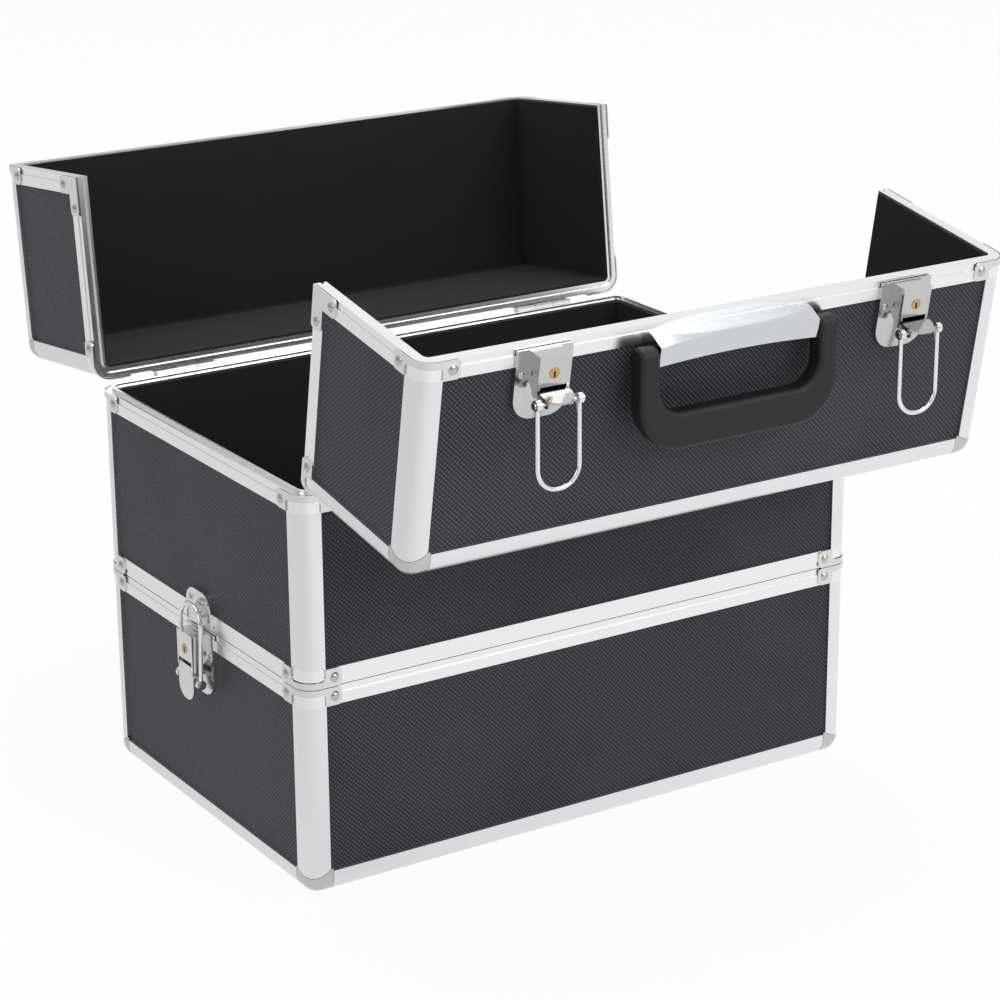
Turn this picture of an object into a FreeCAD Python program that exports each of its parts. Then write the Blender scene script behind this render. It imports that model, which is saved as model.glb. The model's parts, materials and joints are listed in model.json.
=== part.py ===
import FreeCAD
import Part
import Sketcher
import math
import os
from types import SimpleNamespace

# Driving sizes in millimetres and degrees
SIZES = {
    # Whole case: two boxes and a lid in two halves
    "case_width": 370.0,
    "case_depth": 240.0,
    "lower_height": 122.0,
    "middle_height": 110.0,
    "lid_height": 104.0,
    "seam": 0.4,
    "front_angle": 100.0,
    "rear_angle": 96.5,
    # Aluminium extrusions and the boards that slide into them
    "skin": 1.5,
    "board": 4.0,
    "inner_lip": 1.2,
    "corner_round": 10.0,
    "flange": 13.5,
    "ball_corner": 15.0,
    "arch_radius": 13.4,
    "arch_sag": 4.5,
    "joint_gap": 0.25,
    # Mouth rims with their tongue and groove
    "rim_band": 10.5,
    "rim_web": 3.6,
    "bead_height": 4.0,
    "bead_step": 0.5,
    "tongue_inset": 3.6,
    "tongue_wall": 1.3,
    "tongue_rise": 1.8,
    "groove_gap": 0.35,
    # Pressed corner brackets and dome rivets
    "bracket_arm": 23.0,
    "bracket_wall": 0.8,
    "bracket_end_round": 2.5,
    "bracket_notch_half": 9.7,
    "bracket_notch_depth": 7.0,
    "rivet_inset": 18.5,
    "rivet_radius": 2.8,
    "rivet_rise": 1.3,
    # Lining sheet and the tray floor
    "lining": 1.3,
    "lining_drop": 1.0,
    "floor_lift": 1.0,
    # Lid hinges
    "hinge_inset": 58.0,
    "hinge_length": 40.0,
    "hinge_out": 3.0,
    "knuckle_radius": 2.8,
    "knuckle_gap": 0.3,
    "hinge_pin_radius": 1.5,
    "leaf_height": 16.0,
    "leaf_wall": 1.2,
    "pin_fit": 0.05,
    "press_fit": 0.02,
    # Handle bracket and grip
    "bracket_half": 50.0,
    "bracket_from_seam": 6.0,
    "bracket_breadth": 14.0,
    "bracket_thick": 10.5,
    "bracket_arch": 2.0,
    "bracket_slope_angle": 22.0,
    "bracket_slope_start": 1.5,
    "bracket_crown": 3.4,
    "grip_half": 62.5,
    "grip_arm": 12.0,
    "grip_bar": 20.0,
    "grip_drop": 50.0,
    "grip_thick": 12.0,
    "grip_bend": 26.0,
    "grip_inner_bend": 14.0,
    "grip_edge": 3.0,
    "grip_from_seam": 15.5,
    "grip_pivot_rise": 7.0,
    "grip_pin_radius": 2.0,
    "grip_pin_depth": 8.0,
    # Loop latch
    "latch_inset": 71.0,
    "key_to_seam": 11.7,
    "plate_half": 16.5,
    "plate_top": 10.0,
    "plate_bottom": 28.0,
    "plate_wall": 1.5,
    "plate_round": 12.0,
    "house_half": 9.2,
    "house_top": 9.6,
    "house_rise": 11.0,
    "house_wall": 1.4,
    "house_lower_edge": 6.8,
    "plug_radius": 3.0,
    "plug_length": 3.6,
    "keyway_wide": 1.2,
    "keyway_deep": 2.6,
    "pivot_drop": 10.5,
    "pivot_rise": 8.5,
    "pivot_radius": 1.2,
    "lug_radius": 2.5,
    "lever_angle_open": 78.0,
    "lever_gap": 2.5,
    "tongue_sink": 0.2,
    "shoulder": 4.0,
    "side_tongue_end": 30.5,
    "top_tongue_end": 24.0,
    "tongue_half": 9.0,
    "tongue_neck_half": 7.5,
    "tongue_plate": 1.4,
    "ear_wall": 1.3,
    "ear_reach": 2.4,
    "ear_bend": 2.0,
    "rod_drop": 8.4,
    "rod_back": 0.8,
    "rod_head": 1.9,
    "rod_head_length": 0.7,
    "side_play": 0.3,
    "loop_length": 46.0,
    "loop_half": 12.3,
    "wire_radius": 1.3,
    "eye_radius": 2.8,
    "eye_width": 2.8,
    # Catch plate
    "catch_half": 15.0,
    "catch_low": 14.0,
    "catch_high": 33.0,
    "catch_round": 10.0,
    "catch_wall": 1.4,
    "nose_half": 8.0,
    "nose_low": 15.0,
    "nose_rise": 3.0,
    "nose_round": 6.0,
    "seat_gap": 0.3,
    "loop_clear": 0.35,
}

# Plane of a sketch, named by the two axes that it is drawn along
ACROSS_UP = "XY_Plane"
ALONG_UP = "YZ_Plane"
FRONT = "XZ_Plane"

ORIGIN = FreeCAD.Vector(0, 0, 0)
X = FreeCAD.Vector(1, 0, 0)
Y = FreeCAD.Vector(0, 1, 0)
Z = FreeCAD.Vector(0, 0, 1)
HALF_ROOT = math.sqrt(0.5)
ACROSS_CORNER = FreeCAD.Vector(HALF_ROOT, -HALF_ROOT, 0)
INTO_CORNER = FreeCAD.Vector(HALF_ROOT, HALF_ROOT, 0)
CORNER_AXES = (ACROSS_CORNER, -Z, INTO_CORNER)


class Size:
    """A number together with the sheet expression that gives it."""

    def __init__(self, value, text):
        self.value = value
        self.text = text

    def __add__(self, other):
        return Size(self.value + number(other), f"({self.text} + {words(other)})")

    def __radd__(self, other):
        return Size(number(other) + self.value, f"({words(other)} + {self.text})")

    def __sub__(self, other):
        return Size(self.value - number(other), f"({self.text} - {words(other)})")

    def __rsub__(self, other):
        return Size(number(other) - self.value, f"({words(other)} - {self.text})")

    def __mul__(self, other):
        return Size(self.value * number(other), f"({self.text} * {words(other)})")

    def __rmul__(self, other):
        return Size(number(other) * self.value, f"({words(other)} * {self.text})")

    def __truediv__(self, other):
        return Size(self.value / number(other), f"({self.text} / {words(other)})")

    def __neg__(self):
        return Size(-self.value, f"(-1 * {self.text})")


def number(size):
    return size.value if isinstance(size, Size) else float(size)


def words(size):
    return size.text if isinstance(size, Size) else repr(float(size))


def sine(angle):
    return Size(math.sin(math.radians(angle.value)), f"sin({angle.text})")


def cosine(angle):
    return Size(math.cos(math.radians(angle.value)), f"cos({angle.text})")


def arcsine(ratio):
    return Size(math.degrees(math.asin(ratio.value)), f"asin({ratio.text})")


doc = FreeCAD.newDocument("train_case")
sheet = doc.addObject("Spreadsheet::Sheet", "sizes")
for row, (size_name, size_value) in enumerate(SIZES.items(), start=1):
    sheet.set(f"A{row}", size_name)
    sheet.set(f"B{row}", str(size_value))
    sheet.setAlias(f"B{row}", size_name)
doc.recompute()
dim = SimpleNamespace(**{name: Size(value, f"sizes.{name}") for name, value in SIZES.items()})

# Sizes that follow from the driving ones
half_width = dim.case_width / 2
half_depth = dim.case_depth / 2
inset = dim.skin + dim.board + dim.inner_lip
inner_round = dim.corner_round - inset
extrusion_end = dim.ball_corner + dim.joint_gap
arched_end = extrusion_end - dim.arch_sag
middle_base = dim.lower_height + dim.seam
middle_top = middle_base + dim.middle_height
hinge_height = middle_top + dim.seam / 2
lid_depth = half_depth - dim.seam / 2
front_lean = dim.front_angle - 90
key_place = half_depth - dim.key_to_seam
latch_place = half_width - dim.latch_inset
grip_place = half_depth - dim.grip_from_seam
bracket_high = half_depth - dim.bracket_from_seam
bracket_low = bracket_high - dim.bracket_breadth
side_key_height = dim.lower_height + dim.seam / 2 - dim.key_to_seam
rim_edge = dim.key_to_seam - dim.seam / 2 - dim.rim_band
pivot = (-dim.pivot_drop, dim.pivot_rise)
bar_reach = dim.loop_length - dim.wire_radius
bar_rise = dim.catch_wall + dim.nose_rise + dim.loop_clear + dim.wire_radius
rod_rise = dim.pivot_rise - dim.rod_back
rod_place = -dim.pivot_drop - dim.rod_drop
hooked_lean = arcsine((rod_rise - bar_rise) / bar_reach)
bar_place = rod_place + bar_reach * cosine(hooked_lean)
nose_seat = bar_place - dim.wire_radius - dim.seat_gap


# Helpers that draw, pad, place and group

def bind(item, name, size):
    """Tie a property of an object to the sheet, or set it to a fixed number."""
    if isinstance(size, Size):
        item.setExpression(name, size.text)
    elif "." not in name:
        setattr(item, name, size)
    elif size != 0:
        item.setExpression(name, repr(float(size)))


def place(item, at=(0, 0, 0), axes=(X, Y, Z)):
    """Put an object's local axes along the given directions, at a bound position."""
    item.Placement = FreeCAD.Placement(ORIGIN, FreeCAD.Rotation(*axes, "ZXY"))
    for axis, size in zip("xyz", at):
        bind(item, f"Placement.Base.{axis}", size)
    return item


def turned(pieces, at, angle):
    """A group turned about its own X axis by a bound angle."""
    item = doc.addObject("Part::Compound", "turned")
    item.Links = pieces
    item.Placement = FreeCAD.Placement(ORIGIN, FreeCAD.Rotation(X, 1))
    bind(item, "Placement.Rotation.Angle", angle)
    for axis, size in zip("xyz", at):
        bind(item, f"Placement.Base.{axis}", size)
    return item


def placed(piece, at, axes=(X, Y, Z)):
    """Wrap a finished piece so that it can be placed as a whole."""
    item = doc.addObject("Part::Compound", "placed")
    item.Links = [piece]
    return place(item, at, axes)


def new_body(name):
    return doc.addObject("PartDesign::Body", name)


def new_sketch(body, plane, lift):
    sketch = body.newObject("Sketcher::SketchObject", "outline")
    support = next(item for item in body.Origin.OriginFeatures if item.Role == plane)
    sketch.AttachmentSupport = [(support, "")]
    sketch.MapMode = "FlatFace"
    bind(sketch, "AttachmentOffset.Base.z", lift)
    return sketch


def fix(sketch, kind, geometry, point, size):
    """Hold one point of a sketch at a distance from the origin."""
    rule = sketch.addConstraint(Sketcher.Constraint(kind, -1, 1, geometry, point, number(size)))
    if isinstance(size, Size):
        sketch.setExpression(f"Constraints[{rule}]", size.text)


def direction(start, end):
    """Which way a level or upright edge runs, as a pair of signs."""
    across = number(end[0]) - number(start[0])
    along = number(end[1]) - number(start[1])
    if abs(across) > abs(along):
        return (math.copysign(1, across), 0)
    return (0, math.copysign(1, along))


def moved(corner, step, size):
    return tuple(value if sign == 0 else value + size * sign for value, sign in zip(corner, step))


def bends(corners):
    """Turn corners (x, y) and rounded corners (x, y, radius) into points with the bend that follows."""
    points = []
    for index, corner in enumerate(corners):
        if len(corner) == 2:
            points.append((corner, None, None))
            continue
        spot, radius = corner[:2], corner[2]
        back = direction(spot, corners[index - 1])
        ahead = direction(spot, corners[(index + 1) % len(corners)])
        centre = moved(moved(spot, back, radius), ahead, radius)
        points.append((moved(spot, back, radius), centre, radius))
        points.append((moved(spot, ahead, radius), None, None))
    return points


def add_arc(sketch, start, end, centre, radius):
    """Add a bend and return it with the numbers of its first and last point."""
    middle = FreeCAD.Vector(number(centre[0]), number(centre[1]), 0)
    first = FreeCAD.Vector(number(start[0]), number(start[1]), 0) - middle
    last = FreeCAD.Vector(number(end[0]), number(end[1]), 0) - middle
    circle = Part.Circle(middle, Z, number(radius))
    left_turn = first.cross(last).z > 0
    low, high = (first, last) if left_turn else (last, first)
    low_angle = math.atan2(low.y, low.x)
    high_angle = math.atan2(high.y, high.x)
    if high_angle < low_angle:
        high_angle += 2 * math.pi
    arc = sketch.addGeometry(Part.ArcOfCircle(circle, low_angle, high_angle), False)
    rule = sketch.addConstraint(Sketcher.Constraint("Radius", arc, number(radius)))
    if isinstance(radius, Size):
        sketch.setExpression(f"Constraints[{rule}]", radius.text)
    return (arc, 1, 2) if left_turn else (arc, 2, 1)


def draw(body, corners, plane=ACROSS_UP, lift=0, closed=True):
    """Sketch an outline or an open path; a corner with a third value is rounded by it."""
    sketch = new_sketch(body, plane, lift)
    points = bends(corners)
    runs = []
    for index, (start, centre, radius) in enumerate(points):
        if not closed and index == len(points) - 1:
            break
        end = points[(index + 1) % len(points)][0]
        if radius is None:
            first = FreeCAD.Vector(number(start[0]), number(start[1]), 0)
            last = FreeCAD.Vector(number(end[0]), number(end[1]), 0)
            runs.append((sketch.addGeometry(Part.LineSegment(first, last), False), 1, 2))
        else:
            runs.append(add_arc(sketch, start, end, centre, radius))
    for index, (geometry, first, last) in enumerate(runs):
        start = points[index][0]
        fix(sketch, "DistanceX", geometry, first, start[0])
        fix(sketch, "DistanceY", geometry, first, start[1])
        if index > 0 or closed:
            before = runs[index - 1]
            sketch.addConstraint(Sketcher.Constraint("Coincident", before[0], before[2], geometry, first))
    if not closed:
        end = points[-1][0]
        fix(sketch, "DistanceX", runs[-1][0], runs[-1][2], end[0])
        fix(sketch, "DistanceY", runs[-1][0], runs[-1][2], end[1])
    return sketch


def draw_circle(body, centre, radius, plane=ACROSS_UP, lift=0):
    sketch = new_sketch(body, plane, lift)
    middle = FreeCAD.Vector(number(centre[0]), number(centre[1]), 0)
    ring = sketch.addGeometry(Part.Circle(middle, Z, number(radius)), False)
    fix(sketch, "DistanceX", ring, 3, centre[0])
    fix(sketch, "DistanceY", ring, 3, centre[1])
    rule = sketch.addConstraint(Sketcher.Constraint("Radius", ring, number(radius)))
    if isinstance(radius, Size):
        sketch.setExpression(f"Constraints[{rule}]", radius.text)
    return sketch


def feature(body, kind, sketch, length, both_ways=False):
    """Pad or pocket a sketch by a bound length."""
    item = body.newObject(f"PartDesign::{kind}", kind.lower())
    item.Profile = sketch
    item.SideType = "Symmetric" if both_ways else "One side"
    bind(item, "Length", length)
    return item


def extruded(name, corners, length, at=(0, 0, 0), axes=(X, Y, Z)):
    """A straight piece of one profile."""
    body = new_body(name)
    feature(body, "Pad", draw(body, corners), length)
    return place(body, at, axes)


def box(name, low, high):
    """A board between two corners."""
    item = doc.addObject("Part::Box", name)
    for side, start, end in zip(("Length", "Width", "Height"), low, high):
        bind(item, side, end - start)
    return place(item, low)


def cylinder(name, radius, length, at, axes):
    item = doc.addObject("Part::Cylinder", name)
    bind(item, "Radius", radius)
    bind(item, "Height", length)
    return place(item, at, axes)


def joined(name, pieces):
    item = doc.addObject("Part::MultiFuse", name)
    item.Shapes = pieces
    return item


def cut(name, base, tool):
    item = doc.addObject("Part::Cut", name)
    item.Base = base
    item.Tool = tool
    return item


def mirrored(piece, normal):
    item = doc.addObject("Part::Mirroring", "mirrored")
    item.Source = piece
    item.Normal = normal
    return item


def with_mirror(pieces, normal):
    return pieces + [mirrored(piece, normal) for piece in pieces]


def four_corners(pieces):
    return with_mirror(with_mirror(pieces, X), Y)


nodes = []


def node(label, pieces):
    """One named sub-part: a group of separate solids that stays where its pieces are."""
    item = doc.addObject("Part::Compound", label)
    item.Links = pieces
    item.Label = label
    nodes.append(item)
    return item


def front_lid_node(label, pieces):
    """A sub-part drawn in the closed front lid, swung open about the front hinge line."""
    item = turned(pieces, (0, -half_depth - dim.hinge_out, hinge_height), dim.front_angle)
    item.Label = label
    nodes.append(item)
    return item


def rear_lid_node(label, pieces):
    """The mirror image of pieces drawn in the closed front lid, swung open at the rear."""
    images = [mirrored(piece, Y) for piece in pieces]
    item = turned(images, (0, half_depth + dim.hinge_out, hinge_height), -dim.rear_angle)
    item.Label = label
    nodes.append(item)
    return item


def in_lid(across, depth, height):
    """Closed-lid place, measured from the wall's outer face and the mouth, about the hinge line."""
    return (across, depth + dim.hinge_out, height + dim.seam / 2)


# Profiles of the extrusions

def corner_profile():
    """Rounded corner extrusion with a slot for a board on either side."""
    board_face = dim.skin + dim.board
    return [
        (dim.flange, 0),
        (0, 0, dim.corner_round),
        (0, dim.flange),
        (dim.skin, dim.flange),
        (dim.skin, dim.corner_round),
        (board_face, dim.corner_round),
        (board_face, dim.flange),
        (inset, dim.flange),
        (inset, inset),
        (dim.flange, inset),
        (dim.flange, board_face),
        (dim.corner_round, board_face),
        (dim.corner_round, dim.skin),
        (dim.flange, dim.skin),
    ]


def rim_profile(up, edge):
    """Rim channel over a board's edge: up is 1 or -1, edge is tongue, groove or plain."""
    board_face = dim.skin + dim.board
    tongue_back = dim.tongue_inset + dim.tongue_wall
    groove_front = dim.tongue_inset - dim.groove_gap
    groove_back = tongue_back + dim.groove_gap
    mouth = {
        "tongue": [
            (dim.tongue_inset, 0),
            (dim.tongue_inset, dim.tongue_rise),
            (tongue_back, dim.tongue_rise),
            (tongue_back, 0),
        ],
        "groove": [
            (groove_front, 0),
            (groove_front, -dim.tongue_rise),
            (groove_back, -dim.tongue_rise),
            (groove_back, 0),
        ],
        "plain": [],
    }[edge]
    corners = [
        (0, -dim.rim_band),
        (0, -dim.bead_height),
        (dim.bead_step, -dim.bead_height),
        (dim.bead_step, 0),
        *mouth,
        (inset, 0),
        (inset, -dim.rim_band),
        (board_face, -dim.rim_band),
        (board_face, -dim.rim_web),
        (dim.skin, -dim.rim_web),
        (dim.skin, -dim.rim_band),
    ]
    return [(across, height * up) for across, height in corners]


# Pieces that both boxes and the lids are made of

def corner_rod(radius, lift):
    """Level rod through a rounded corner along its diagonal, for cutting arches."""
    reach = dim.bracket_arm
    return cylinder("arch", radius, reach * 4, (-reach, -reach, lift), CORNER_AXES)


def arched_post(length, at, axes=(X, Y, Z)):
    """Corner extrusion whose first end is rounded like a tongue, to sit in a ball corner."""
    body = new_body("post")
    feature(body, "Pad", draw(body, corner_profile()), length)
    reach = dim.bracket_arm
    block = doc.addObject("Part::Box", "block")
    bind(block, "Length", reach * 2)
    bind(block, "Width", dim.arch_sag * 2)
    bind(block, "Height", reach * 4)
    start = (reach * (-1 - HALF_ROOT), reach * (HALF_ROOT - 1), dim.arch_sag)
    place(block, start, CORNER_AXES)
    spandrels = cut("spandrels", block, corner_rod(dim.arch_radius, dim.arch_radius))
    return placed(cut("arched_post", body, spandrels), at, axes)


def bent_bracket(at, post_above, axes=(X, Y, Z)):
    """Plate bent round a rim's rounded corner, notched where the post runs on."""
    arm = dim.bracket_arm
    outside = -dim.bracket_wall
    profile = [
        (arm, outside),
        (outside, outside, dim.corner_round + dim.bracket_wall),
        (outside, arm),
        (0, arm),
        (0, 0, dim.corner_round),
        (arm, 0),
    ]
    body = new_body("bracket")
    plate = feature(body, "Pad", draw(body, profile), dim.rim_band)

    def is_arm_corner(edge):
        span = edge.BoundBox
        at_end = span.XMin > number(arm) - 0.001 or span.YMin > number(arm) - 0.001
        return at_end and span.ZLength < 0.001

    round_edges(body, plate, is_arm_corner, dim.bracket_end_round)
    half = dim.bracket_notch_half
    depth = dim.bracket_notch_depth * (1 if post_above else -1)
    bend = dim.bracket_end_round
    outline = [(-half, -depth), (-half, depth, bend), (half, depth, bend), (half, -depth)]
    notch_start = (-arm, -arm, dim.rim_band if post_above else 0)
    notch = extruded("notch", outline, arm * 4, notch_start, CORNER_AXES)
    return placed(cut("notched_bracket", body, notch), at, axes)



def rim_corner(profile, at, axes):
    """Quarter bend of a rim, turned about the centre of the corner rounding."""
    body = new_body("rim_corner")
    sketch = draw(body, profile)
    centre = number(dim.corner_round)
    line = Part.LineSegment(FreeCAD.Vector(centre, 0, 0), FreeCAD.Vector(centre, 1, 0))
    axis = sketch.addGeometry(line, True)
    fix(sketch, "DistanceX", axis, 1, dim.corner_round)
    fix(sketch, "DistanceX", axis, 2, dim.corner_round)
    turn = body.newObject("PartDesign::Revolution", "bend")
    turn.Profile = sketch
    turn.ReferenceAxis = (sketch, ["Axis0"])
    turn.Angle = 90
    turn.Reversed = True
    return place(body, at, axes)


def edge_names(shape, wanted):
    """Names of the edges whose middle and length direction pass a test."""
    return [f"Edge{count}" for count, edge in enumerate(shape.Edges, start=1) if wanted(edge)]


def face_names(shape, wanted):
    return [f"Face{count}" for count, face in enumerate(shape.Faces, start=1) if wanted(face)]


def round_edges(body, base, wanted, radius):
    doc.recompute()
    fillet = body.newObject("PartDesign::Fillet", "rounding")
    fillet.Base = (base, edge_names(base.Shape, wanted))
    bind(fillet, "Radius", radius)
    doc.recompute()
    return fillet


def shelled(body, base, open_faces, wall):
    """Hollow a solid inwards and leave the named faces open."""
    shell = body.newObject("PartDesign::Thickness", "shell")
    shell.Base = (base, face_names(base.Shape, open_faces))
    shell.Reversed = True
    bind(shell, "Value", wall)
    return shell


def ball_corner(at, axes):
    """Pressed cap over the place where three extrusions meet, arched to hold the third one's end."""
    body = new_body("ball_corner")
    side = dim.ball_corner
    block = feature(body, "Pad", draw(body, [(0, 0), (side, 0), (side, side), (0, side)]), side)

    def meets_tip(edge):
        return any(vertex.Point.Length < 0.001 for vertex in edge.Vertexes)

    def is_inner(face):
        low = face.BoundBox
        return max(low.XMin, low.YMin, low.ZMin) > number(side) - 0.001

    rounded = round_edges(body, block, meets_tip, dim.corner_round)
    shelled(body, rounded, is_inner, dim.skin)
    arch = corner_rod(dim.arch_radius + dim.joint_gap, arched_end + dim.arch_radius)
    return placed(cut("arched_corner", body, arch), at, axes)


def rivet(at, axes):
    """Dome head with its flat face on the bracket and its crown along the third axis."""
    radius = (dim.rivet_radius * dim.rivet_radius + dim.rivet_rise * dim.rivet_rise) / (dim.rivet_rise * 2)
    head = doc.addObject("Part::Sphere", "rivet")
    bind(head, "Radius", radius)
    head.setExpression("Angle1", f"asin(1 - {dim.rivet_rise.text} / {radius.text})")
    base = [size - (radius - dim.rivet_rise) * sign for size, sign in zip(at, axes[2])]
    return place(head, base, axes)


def box_rim(profile, height):
    """Four rim bars and four bent corners round the mouth of a box."""
    start = dim.corner_round
    front_start = (start - half_width, -half_depth, height)
    left_start = (-half_width, half_depth - start, height)
    front = extruded("rim_bar", profile, dim.case_width - start * 2, front_start, (Y, Z, X))
    left = extruded("rim_bar", profile, dim.case_depth - start * 2, left_start, (X, Z, -Y))
    corner = rim_corner(profile, front_start, (Y, Z, X))
    return with_mirror([front], Y) + with_mirror([left], X) + four_corners([corner])


def box_brackets(height, post_above):
    """Brackets whose lower edge lies at a height, and their rivets."""
    bracket = bent_bracket((-half_width, -half_depth, height), post_above)
    level = height + dim.rim_band / 2
    front = rivet((dim.rivet_inset - half_width, -half_depth - dim.bracket_wall, level), (X, Z, -Y))
    left = rivet((-half_width - dim.bracket_wall, dim.rivet_inset - half_depth, level), (Y, -Z, -X))
    return four_corners([bracket]), four_corners([front, left])


def box_boards(low, high):
    """Four wall boards between two heights."""
    start = dim.corner_round
    board_face = dim.skin + dim.board
    across = half_width - start
    along = half_depth - start
    front = box("front_board", (-across, dim.skin - half_depth, low), (across, board_face - half_depth, high))
    left = box("end_board", (dim.skin - half_width, -along, low), (board_face - half_width, along, high))
    return with_mirror([front], Y) + with_mirror([left], X)


def rounded_board():
    """Outline that fills a box inside its extrusions."""
    across = half_width - inset
    along = half_depth - inset
    return [
        (-across, -along, inner_round),
        (across, -along, inner_round),
        (across, along, inner_round),
        (-across, along, inner_round),
    ]


def tray_lining(low, high):
    """Lining sheet on the floor and walls of a box."""
    body = new_body("lining")
    block = feature(body, "Pad", draw(body, rounded_board()), high - low)
    doc.recompute()
    shelled(body, block, lambda face: face.BoundBox.ZMin > number(high - low) - 0.001, dim.lining)
    return place(body, (0, 0, low))


# Lower box
def build_lower_box():
    rim_foot = dim.lower_height - dim.rim_band
    start = dim.corner_round
    underside = (half_width - start, half_depth - start)
    floor_top = dim.skin + dim.board
    node("lower_floor", [box("floor", (-underside[0], -underside[1], dim.skin), (*underside, floor_top))])
    node("lower_panels", box_boards(start, dim.lower_height - dim.rim_web))
    node("lower_lining", [tray_lining(inset, dim.lower_height - dim.lining_drop)])
    post = arched_post(rim_foot - arched_end, (-half_width, -half_depth, arched_end))
    node("lower_posts", four_corners([post]))
    profile = corner_profile()
    long_start = (extrusion_end - half_width, -half_depth, 0)
    end_start = (-half_width, extrusion_end - half_depth, 0)
    long_edge = extruded("edge", profile, dim.case_width - extrusion_end * 2, long_start, (Y, Z, X))
    end_edge = extruded("edge", profile, dim.case_depth - extrusion_end * 2, end_start, (Z, X, Y))
    node("lower_bottom_edges", with_mirror([long_edge], Y) + with_mirror([end_edge], X))
    node("lower_ball_corners", four_corners([ball_corner((-half_width, -half_depth, 0), (X, Y, Z))]))
    node("lower_rim", box_rim(rim_profile(1, "tongue"), dim.lower_height))
    brackets, rivets = box_brackets(rim_foot, post_above=False)
    node("lower_brackets", brackets)
    node("lower_rivets", rivets)


# Middle box
def build_middle_box():
    rim_foot = middle_top - dim.rim_band
    floor_base = middle_base + dim.floor_lift
    floor_top = floor_base + dim.board
    node("middle_floor", [extruded("floor", rounded_board(), dim.board, (0, 0, floor_base))])
    node("middle_panels", box_boards(middle_base + dim.rim_web, middle_top - dim.rim_web))
    node("middle_lining", [tray_lining(floor_top, middle_top - dim.lining_drop)])
    post_base = (-half_width, -half_depth, middle_base + dim.rim_band)
    post = extruded("post", corner_profile(), dim.middle_height - dim.rim_band * 2, post_base)
    node("middle_posts", four_corners([post]))
    upper = box_rim(rim_profile(1, "tongue"), middle_top)
    lower = box_rim(rim_profile(-1, "groove"), middle_base)
    node("middle_rims", upper + lower)
    upper_brackets, upper_rivets = box_brackets(rim_foot, post_above=False)
    lower_brackets, lower_rivets = box_brackets(middle_base, post_above=True)
    node("middle_brackets", upper_brackets + lower_brackets)
    node("middle_rivets", upper_rivets + lower_rivets)


# Lid halves, drawn closed about the front hinge line
def lid_boards():
    start = dim.corner_round
    across = half_width - start
    free_edge = lid_depth - dim.rim_web
    board_face = dim.skin + dim.board
    top = dim.lid_height - start
    wall = box("wall_board", in_lid(-across, dim.skin, dim.rim_web), in_lid(across, board_face, top))
    end_low = in_lid(dim.skin - half_width, start, dim.rim_web)
    end = box("end_board", end_low, in_lid(board_face - half_width, free_edge, top))
    top_low = in_lid(-across, start, dim.lid_height - board_face)
    lid_top = box("top_board", top_low, in_lid(across, free_edge, dim.lid_height - dim.skin))
    return [wall, lid_top] + with_mirror([end], X)


def lid_edges():
    """Extrusions between wall and end, wall and top, and end and top."""
    top = dim.lid_height
    ends = extrusion_end + dim.rim_band
    profile = corner_profile()
    long_start = in_lid(half_width - extrusion_end, 0, top)
    upright = extruded("edge", profile, top - ends, in_lid(-half_width, 0, dim.rim_band))
    long_edge = extruded("edge", profile, dim.case_width - extrusion_end * 2, long_start, (Y, -Z, -X))
    end_length = lid_depth - dim.rim_band - arched_end
    end_top = arched_post(end_length, in_lid(-half_width, arched_end, top), (X, -Z, Y))
    return [long_edge] + with_mirror([upright, end_top], X)


def mitred_bar(profile, length, band, at, axes):
    """Rim bar whose first end is cut at 45 degrees away from its mouth."""
    body = new_body("mitred_bar")
    feature(body, "Pad", draw(body, profile), length)
    waste = draw(body, [(0, 0), (band, 0), (band, dim.rim_band)], ALONG_UP)
    feature(body, "Pocket", waste, inset * 4, both_ways=True)
    return place(body, at, axes)


def lid_rims():
    """Rim round the mouth, tongued into the box, and plain rim along the free edge."""
    start = dim.corner_round
    groove = rim_profile(-1, "groove")
    plain = rim_profile(1, "plain")
    across = dim.case_width - start * 2
    wall_start = in_lid(start - half_width, 0, 0)
    mitre = in_lid(-half_width, lid_depth, 0)
    top_start = in_lid(start - half_width, lid_depth, dim.lid_height)
    wall = extruded("rim_bar", groove, across, wall_start, (Y, Z, X))
    wall_corner = rim_corner(groove, wall_start, (Y, Z, X))
    end = mitred_bar(groove, lid_depth - start, dim.rim_band, mitre, (X, Z, -Y))
    bar = mitred_bar(plain, dim.lid_height - start, -dim.rim_band, mitre, (X, Y, Z))
    slot_low = dim.tongue_inset - dim.groove_gap - half_width
    slot_high = dim.tongue_inset + dim.tongue_wall + dim.groove_gap - half_width
    slot_start = in_lid(slot_low, lid_depth - dim.rim_band, -dim.tongue_rise)
    slot_end = in_lid(slot_high, lid_depth + dim.rim_band, dim.tongue_rise)
    free_end = cut("slotted_bar", bar, box("tongue_slot", slot_start, slot_end))
    free_top = extruded("rim_bar", plain, across, top_start, (-Z, Y, X))
    free_corner = rim_corner(plain, top_start, (-Z, Y, X))
    return [wall, free_top] + with_mirror([wall_corner, end, free_end, free_corner], X)


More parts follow.
